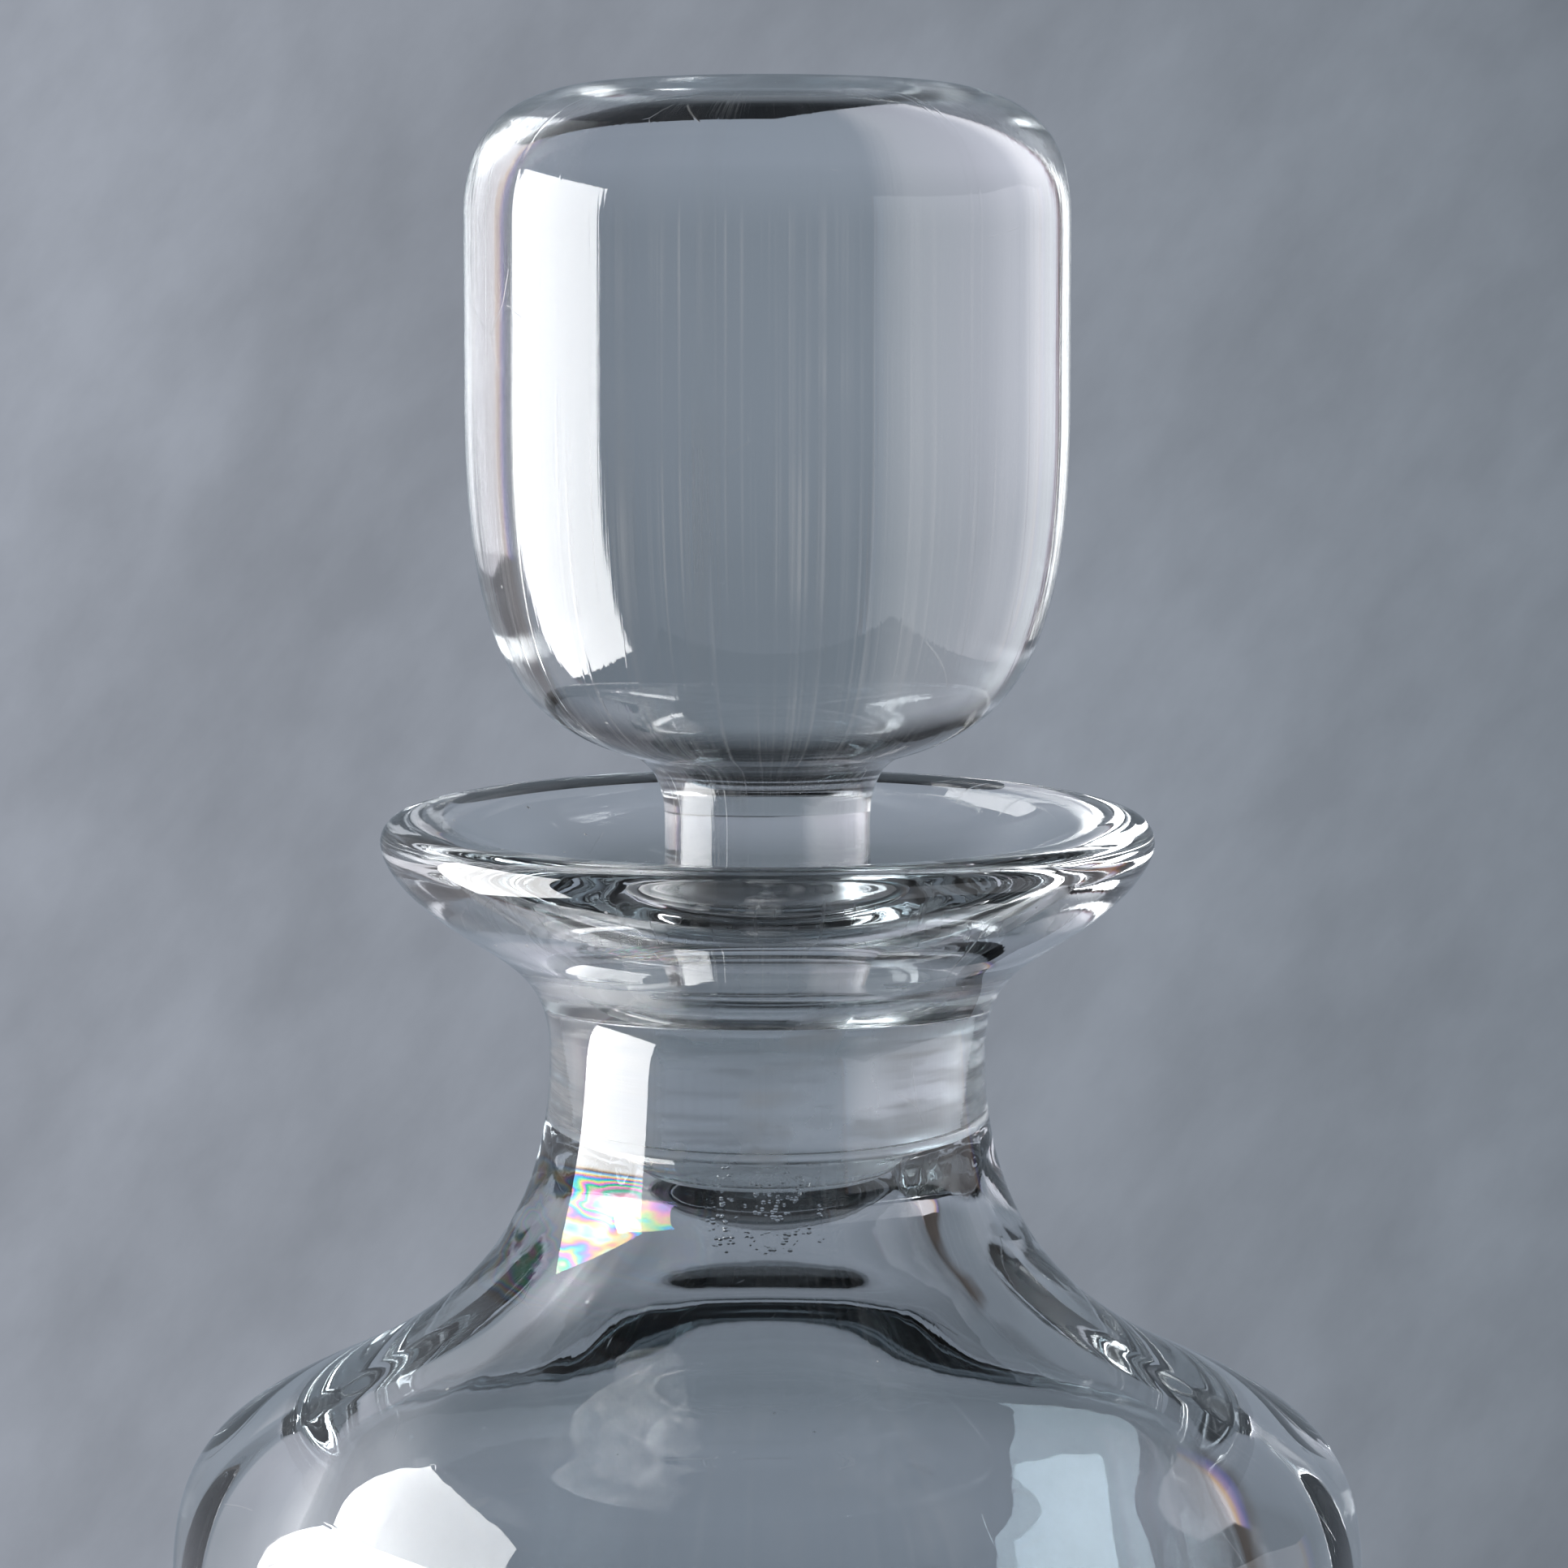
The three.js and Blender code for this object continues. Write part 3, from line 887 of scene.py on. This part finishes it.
def walls_and_panel(paint, way):
    """What the crystal sees round it, by heading and height."""
    turn = paint.maths("ARCTAN2", way["X"], paint.times(way["Y"], -1))
    spot = paint.remap(turn, -math.pi, math.pi, curve="LINEAR")
    walls = round_ramp(paint, spot, ROUND_THE_STUDIO)
    for low, level, high, next_level in WALL_BY_HEIGHT:
        ends = [math.sin(math.radians(angle)) for angle in (low, high)]
        part = paint.remap(way["Z"], *ends, curve="LINEAR")
        walls = paint.vectors("MULTIPLY", walls, paint.mix(part, level, next_level))
    panel = round_ramp(paint, spot, [(angle, tone) for angle, tone, _ in RIGHT_PANEL])
    reach = round_ramp(paint, spot, [(angle, (top, top, top)) for angle, _, top in RIGHT_PANEL])
    below = paint.maths("SUBTRACT", paint.times(reach, STUDIO_STRENGTH), way["Z"])
    lit = paint.remap(below, -PANEL_EDGE, PANEL_EDGE, curve="LINEAR")
    return paint.vectors("ADD", walls, paint.scaled(panel, lit))


def add_world(studio):
    """A quiet backdrop for the camera, and the studio round it for the crystal."""
    world = bpy.data.worlds.new("studio")
    bpy.context.scene.world = world
    world.use_nodes = True
    world.node_tree.nodes.clear()
    paint = Paint(world.node_tree)
    direction = paint.add("ShaderNodeTexCoord", {})["Generated"]
    way = paint.add("ShaderNodeSeparateXYZ", {0: direction})
    path = paint.add("ShaderNodeLightPath", {})
    tones = {
        "crystal": walls_and_panel(paint, way),
        "floor": (*FLOOR_LIGHT, 1),
        "camera": plaster(paint, direction, way["X"], studio),
    }
    lights = {
        seer: paint.add("ShaderNodeBackground", {"Color": tone})[0] for seer, tone in tones.items()
    }
    lights["crystal"].node.inputs["Strength"].default_value = STUDIO_STRENGTH
    seen = lights["crystal"]
    for ray, seer in (("Is Diffuse Ray", "floor"), ("Is Camera Ray", "camera")):
        seen = paint.add("ShaderNodeMixShader", {0: path[ray], 1: seen, 2: lights[seer]})[0]
    paint.add("ShaderNodeOutputWorld", {"Surface": seen})


# The tall softbox on the left and the lamp above: place, target, width and height, and level.
SIDE_SOFTBOX = ((-0.467, -0.0265, 0.104), (0, -0.0265, 0.104), (0.393, 0.588), 13)
TOP_LAMP = ((0.1, -0.1, 1.1), (0, 0, 0), (0.9, 0.9), 1.0)
# Share of the softbox's level that shows straight through the solid head, which a ray enters and
# leaves once, and through the hollow vessel, where it does so twice.
HEAD_SHARE = 0.25
VESSEL_SHARE = 0.075


def add_softbox(name, place, target, size, level):
    """A rectangular softbox that the camera doesn't see."""
    lamp = bpy.data.lights.new(name, "AREA")
    lamp.shape = "RECTANGLE"
    lamp.size, lamp.size_y = size
    lamp.energy = level * math.pi * size[0] * size[1]
    box = bpy.data.objects.new(name, lamp)
    box.location = place
    box.rotation_euler = (Vector(target) - Vector(place)).to_track_quat("-Z", "Y").to_euler()
    box.visible_camera = False
    bpy.context.scene.collection.objects.link(box)
    return box


def dim_straight(lamp):
    """Dims a lamp where it is seen straight through the crystal, and not by a reflection."""
    lamp.use_nodes = True
    paint = Paint(lamp.node_tree)
    path = paint.add("ShaderNodeLightPath", {})
    surfaces = path["Transmission Depth"]
    through = paint.maths("GREATER_THAN", surfaces, 0.5)
    straight = paint.times(through, paint.maths("LESS_THAN", path["Glossy Depth"], 0.5))
    share = paint.remap(surfaces, 2, 4, HEAD_SHARE, VESSEL_SHARE, curve="LINEAR")
    level = paint.remap(straight, 0, 1, 1, share, curve="LINEAR")
    paint.tree.links.new(level, paint.tree.nodes["Emission"].inputs["Strength"])


# Width of the camera's sensor in millimetres, and the nearest place that it sees in metres.
SENSOR_WIDTH = 36
NEAREST = 0.01


def add_camera(studio):
    """The camera at the photograph's place, aimed a little to the side by its shift."""
    camera = bpy.data.objects.new("camera", bpy.data.cameras.new("camera"))
    camera.data.lens = studio.focal
    camera.data.sensor_width = SENSOR_WIDTH
    camera.data.shift_x = studio.side_shift
    camera.data.clip_start = NEAREST
    back = studio.eye_distance * math.cos(studio.eye_pitch)
    rise = studio.eye_distance * math.sin(studio.eye_pitch)
    camera.location = (0, -back, studio.eye_height + rise)
    camera.rotation_euler = (math.pi / 2 - studio.eye_pitch, 0, 0)
    bpy.context.scene.collection.objects.link(camera)
    bpy.context.scene.camera = camera


# How often light may turn: it crosses both walls and the joint, and is mirrored inside them.
BOUNCES = 24
MIRRORED_BOUNCES = 12


class DECANTER_OT_studio(bpy.types.Operator):
    """Set the floor, backdrop, lamps and camera round the decanter"""

    bl_idname = "decanter.studio"
    bl_label = "Studio"

    def execute(self, context):
        studio = context.scene.decanter_studio
        add_floor(studio)
        add_world(studio)
        side = add_softbox("side softbox", *SIDE_SOFTBOX)
        side.visible_diffuse = False
        dim_straight(side.data)
        # A dark sheet of painted shade, seen only in the crystal.
        add_shade_board(studio)
        top = add_softbox("top lamp", *TOP_LAMP)
        top.visible_glossy = False
        top.visible_transmission = False
        add_camera(studio)
        scene = context.scene
        scene.view_settings.view_transform = "Standard"
        scene.cycles.max_bounces = BOUNCES
        scene.cycles.transmission_bounces = BOUNCES
        scene.cycles.glossy_bounces = MIRRORED_BOUNCES
        return {"FINISHED"}


class DECANTER_PT_panel(bpy.types.Panel):
    """Lists the decanter's pieces and its studio"""

    bl_label = "Crystal Decanter"
    bl_idname = "DECANTER_PT_panel"
    bl_space_type = "VIEW_3D"
    bl_region_type = "UI"
    bl_category = "Decanter"

    def draw(self, context):
        for operator in OPERATORS:
            self.layout.operator(operator.bl_idname)


OPERATORS = (DECANTER_OT_vessel, DECANTER_OT_stopper, DECANTER_OT_studio)
GROUPS = {
    "decanter_vessel": DecanterVesselSizes,
    "decanter_stopper": DecanterStopperSizes,
    "decanter_slopes": DecanterSlopes,
    "decanter_crystal": DecanterCrystal,
    "decanter_studio": DecanterStudio,
}


def register():
    for group in GROUPS.values():
        bpy.utils.register_class(group)
    for name, group in GROUPS.items():
        setattr(bpy.types.Scene, name, PointerProperty(type=group))
    for operator in OPERATORS:
        bpy.utils.register_class(operator)
    bpy.utils.register_class(DECANTER_PT_panel)


def unregister():
    bpy.utils.unregister_class(DECANTER_PT_panel)
    for operator in reversed(OPERATORS):
        bpy.utils.unregister_class(operator)
    for name in GROUPS:
        delattr(bpy.types.Scene, name)
    for group in reversed(list(GROUPS.values())):
        bpy.utils.unregister_class(group)


def main():
    register()
    bpy.ops.decanter.studio()
    bpy.ops.decanter.vessel()
    bpy.ops.decanter.stopper()


if __name__ == "__main__":
    main()
